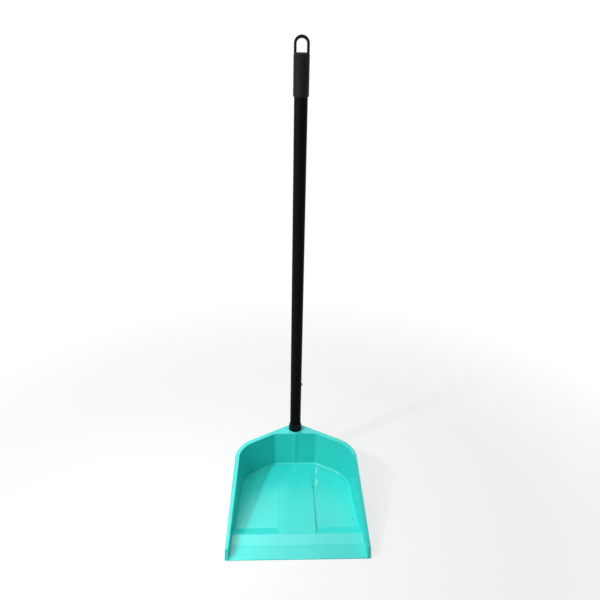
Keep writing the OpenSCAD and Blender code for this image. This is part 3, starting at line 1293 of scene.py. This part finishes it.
@dataclass
class TipRivet(SubAssembly):
    """The domed rivet that pins the tube to the tip's shank."""

    height_z: float = 0.193
    head_r: float = 0.0035
    head_h: float = 0.0022
    rim_h: float = 0.0005
    shank_r: float = 0.002
    inner_r: float = 0.00695
    handle_r: float = 0.011
    seat_gap: float = 0.00005
    dome_steps: int = 10
    turn_steps: int = 48

    def profile(self) -> list[Pair]:
        """Half section along the rivet's own axis, measured from the handle's axis.

        Returns:
            Pairs of radius and distance.
        """
        dome_h = self.head_h - self.rim_h
        dome_r = (self.head_r**2 + dome_h**2) / (2 * dome_h)
        whole = math.asin(self.head_r / dome_r)
        crown = self.handle_r + self.head_h
        turns = [whole * step / self.dome_steps for step in range(self.dome_steps, 0, -1)]
        return [
            (0, self.inner_r),
            (self.shank_r, self.inner_r),
            (self.shank_r, self.handle_r - self.head_h),
            (self.head_r, self.handle_r - self.head_h),
            *((dome_r * math.sin(t), crown - dome_r * (1 - math.cos(t))) for t in turns),
            (0, crown),
        ]

    def build(self) -> Workpiece:
        """Models the rivet, laid on its side and fitted to the round of the handle.

        Returns:
            The shaped rivet.
        """
        rivet = Workpiece.turned("pin_rivet", Vector((0, 0, 0)), self.profile(), self.turn_steps)
        rivet.obj.rotation_euler = (0, math.pi / 2, 0)
        rivet.obj.location = self.at(0, 0, self.height_z)
        rivet.settle()
        shank = Workpiece.block(
            "shank",
            self.at(self.inner_r, -self.shank_r, self.height_z - self.shank_r),
            self.at(self.handle_r, self.shank_r, self.height_z + self.shank_r),
        )
        foot = self.at(0, 0, self.height_z - 2 * self.head_r)
        saddle = Workpiece.rod("saddle", foot, self.handle_r + self.seat_gap, 4 * self.head_r)
        saddle.join(shank, Join.CUT)
        rivet.join(saddle, Join.CUT)
        rivet.clean()
        rivet.shade(self.crease)
        return rivet

    def dress(self, rivet: Workpiece) -> bpy.types.Object:
        """Gives the rivet its finish and its place."""
        return rivet.place(Body.HANDLE, "tip_rivet", "rivet_steel", RIVET_STEEL.material())


@dataclass
class HangCap(SubAssembly):
    """The charcoal cap over the handle's end, with the hang loop moulded on."""

    low_z: float = 0.743
    grip_top_z: float = 0.794
    top_z: float = 0.807
    radius: float = 0.0127
    bore_r: float = 0.01105
    edge_r: float = 0.001
    shoulder_r: float = 0.004
    arc_steps: int = 8
    loop_w: float = 0.0244
    loop_t: float = 0.0065
    loop_steps: int = 40
    strand_w: float = 0.0042
    strand_round: float = 0.0016
    strand_steps: int = 5
    crown_t: float = 0.00505
    arch_z: float = 0.8195

    def arc(self, centre: Pair, radius: float, first: float) -> list[Pair]:
        """Quarter round in the half section, from an angle in degrees."""
        angles = [math.radians(first + 90 * s / self.arc_steps) for s in range(self.arc_steps + 1)]
        return [(centre[0] + radius * math.cos(a), centre[1] + radius * math.sin(a)) for a in angles]

    def body(self) -> Workpiece:
        """Turns the cap's body with its bore.

        Returns:
            The body.
        """
        profile = [
            (0, self.grip_top_z),
            (self.bore_r, self.grip_top_z),
            (self.bore_r, self.low_z),
            *self.arc((self.radius - self.edge_r, self.low_z + self.edge_r), self.edge_r, -90),
            *self.arc((self.radius - self.shoulder_r, self.top_z - self.shoulder_r), self.shoulder_r, 0),
            (0, self.top_z),
        ]
        return Workpiece.turned("loop_cap", self.at(0, 0, 0), profile, ROUND_STEPS)

    def loop(self) -> Workpiece:
        """Bends the loop's strand over its arch and down into the body.

        Returns:
            The loop.
        """
        centre = self.at(0, 0, self.arch_z)
        half_r = (self.loop_w - self.strand_w) / 2
        ends = {side: centre + Vector((side * half_r, 0, 0)) for side in SIDES}
        deselect_all()
        bpy.ops.mesh.primitive_plane_add(size=1, location=ends[1])
        bpy.context.object.scale = (self.strand_w, self.loop_t, 1)
        loop = Workpiece("hang_loop")
        with loop.editing(Pick.FACE):
            bpy.ops.mesh.bevel(
                offset=self.strand_round, segments=self.strand_steps, affect="VERTICES", clamp_overlap=False
            )
            bpy.ops.mesh.select_all(action="SELECT")
            bpy.ops.mesh.spin(steps=self.loop_steps, angle=math.pi, center=centre, axis=(0, 1, 0))
        loop.clean()
        lower = (self.loop_w / 2 - self.crown_t) / (self.loop_w / 2 - self.strand_w)
        inside = half_r - MERGE
        loop.scale_points(lambda p: (p.xz - centre.xz).length < inside, Vector((1, 1, lower)), centre)
        down = self.top_z - self.shoulder_r - self.arch_z
        for end in ends.values():
            with loop.editing(Pick.FACE, lambda f: (f.calc_center_median() - end).length < MERGE):
                bpy.ops.mesh.extrude_region_move(TRANSFORM_OT_translate={"value": (0, 0, down)})
        loop.clean()
        return loop

    def build(self) -> Workpiece:
        """Models the cap.

        Returns:
            The shaped cap.
        """
        cap = self.body()
        cap.join(self.loop(), Join.ADD)
        cap.clean()
        cap.shade(self.crease)
        return cap

    def dress(self, cap: Workpiece) -> bpy.types.Object:
        """Gives the cap its finish and its place."""
        return cap.place(Body.HANDLE, "hang_cap", "cap_plastic", CAP_MOULDING.material())


@dataclass(frozen=True)
class Lamp:
    """A square soft lamp that shines on a point from a direction given by two slopes from the upright."""

    name: str
    target: Place
    lean_x: float
    lean_y: float
    level: float
    distance: float
    size: float

    def hang(self) -> None:
        """Hangs the lamp."""
        away = Vector((-self.lean_x, -self.lean_y, 1))
        data = bpy.data.lights.new(self.name, "AREA")
        data.size = self.size
        data.energy = self.level * away.length * (math.pi * self.distance) ** 2
        lamp = bpy.data.objects.new(self.name, data)
        lamp.location = Vector(self.target) + away.normalized() * self.distance
        lamp.rotation_mode = "QUATERNION"
        lamp.rotation_quaternion = away.to_track_quat("Z", "Y")
        lamp.visible_camera = False
        bpy.context.scene.collection.objects.link(lamp)


# What the lamps shine on
LEFT_RIM = (-0.118, 0, 0.065)
LEFT_END = (-0.12, -0.07, 0.04)
PAN_MIDDLE = (0, 0, 0)


@dataclass
class Studio:
    """White floor and surroundings, small lamps at the upper left, softboxes, and the camera."""

    axis_y: float
    floor_size: float = 12
    floor_gap: float = 0.0003
    floor_colour: Colour = (0.86, 0.86, 0.86)
    floor_glow: float = 0.7
    shadow_reach: float = 0.45
    white_reach: float = 0.9
    lamps: tuple[Lamp, ...] = (
        Lamp("key_high", LEFT_RIM, 0.4, 0.5, 0.097, 0.8, 0.05),
        Lamp("key_middle", LEFT_RIM, 0.715, 0.333, 0.4, 0.8, 0.05),
        Lamp("key_low", LEFT_RIM, 1.0, 0.1, 0.049, 0.8, 0.05),
        Lamp("near_high", LEFT_END, 0.4, 0.5, 0.043, 0.25, 0.03),
        Lamp("near_low", LEFT_END, 1.25, 0.5, 0.156, 0.25, 0.03),
        Lamp("softbox_top", PAN_MIDDLE, 0.03, -0.1, 0.302, 1.8, 0.65),
        Lamp("softbox_left", PAN_MIDDLE, 0.3, -0.6, 0.119, 1.8, 0.8),
        Lamp("softbox_back", PAN_MIDDLE, 0, -1.2, 0.087, 1.8, 1.2),
        Lamp("softbox_front", PAN_MIDDLE, 0.5, 1.0, 0.054, 1.8, 1.0),
    )
    camera_x: float = -0.03247
    camera_y: float = -0.91058
    camera_z: float = 0.82919
    pitch: float = math.radians(26.035)
    yaw: float = math.radians(2.343)
    roll: float = math.radians(-1.123)
    lens: float = 32.4

    def lay_floor(self) -> None:
        """Lays the white floor, which keeps the shadow."""
        deselect_all()
        bpy.ops.mesh.primitive_plane_add(size=self.floor_size, location=(0, 0, -self.floor_gap))
        floor = bpy.context.object
        floor.name = "studio_floor"
        bench = NodeBench(bpy.data.materials.new("studio_white"))
        bench.paint(Base_Color=self.floor_colour, Roughness=1, Specular_IOR_Level=0)
        reach = bench.away(bench.coordinates)
        white = bench.span(reach, (self.shadow_reach, self.white_reach), (self.floor_glow, 1))
        mix = bench.add("MixShader", Fac=bench.reckon(Reckon.PRODUCT, bench.seen(), white))
        bench.tree.links.new(bench.shader.outputs["BSDF"], mix.inputs[1])
        bench.tree.links.new(bench.add("Emission").outputs["Emission"], mix.inputs[2])
        bench.fill(bench.tree.nodes["Material Output"], Surface=mix.outputs["Shader"])
        floor.data.materials.append(bench.owner)

    def light(self) -> None:
        """Makes the surroundings white where they are seen, and hangs the lamps."""
        bench = NodeBench(bpy.data.worlds.new("white_room"))
        bench.paint(Color=(1, 1, 1), Strength=bench.seen())
        bpy.context.scene.world = bench.owner
        for lamp in self.lamps:
            lamp.hang()

    def set_camera(self) -> None:
        """Puts the camera where the photograph was taken from."""
        sp, cp = math.sin(self.pitch), math.cos(self.pitch)
        sy, cy = math.sin(self.yaw), math.cos(self.yaw)
        forward = Vector((sy * cp, cy * cp, -sp))
        level = Vector((cy, -sy, 0))
        right = Matrix.Rotation(self.roll, 3, forward) @ level
        up = right.cross(forward)
        data = bpy.data.cameras.new("camera")
        data.lens = self.lens
        camera = bpy.data.objects.new("camera", data)
        axes = Matrix((right, up, -forward)).transposed().to_4x4()
        place = Vector((self.camera_x, self.axis_y + self.camera_y, self.camera_z))
        camera.matrix_world = Matrix.Translation(place) @ axes
        bpy.context.scene.collection.objects.link(camera)
        bpy.context.scene.camera = camera

    def set_up(self) -> None:
        """Prepares the floor, the light, the camera and the plain view."""
        self.lay_floor()
        self.light()
        self.set_camera()
        bpy.context.scene.view_settings.view_transform = "Standard"


def dress_tube() -> None:
    """Gives the steel tube, which keeps its CAD mesh, its finish."""
    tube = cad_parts["handle_tube"]
    tube.data.materials.clear()
    tube.data.materials.append(TUBE_STEEL.material())
    LOG.info("handle_tube: CAD mesh kept")


def main() -> None:
    """Builds and dresses the sub-assemblies in order, then the studio."""
    logging.basicConfig(level=logging.INFO, format="%(name)s: %(message)s")
    low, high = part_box("handle_sleeve")
    axis_y = (low.y + high.y) / 2
    for kind in (Pan, HandleTip, HandleSleeve, TipRivet, HangCap):
        assembly = kind(axis_y)
        assembly.dress(assembly.build())
    dress_tube()
    Studio(axis_y).set_up()


if __name__ == "__main__":
    main()
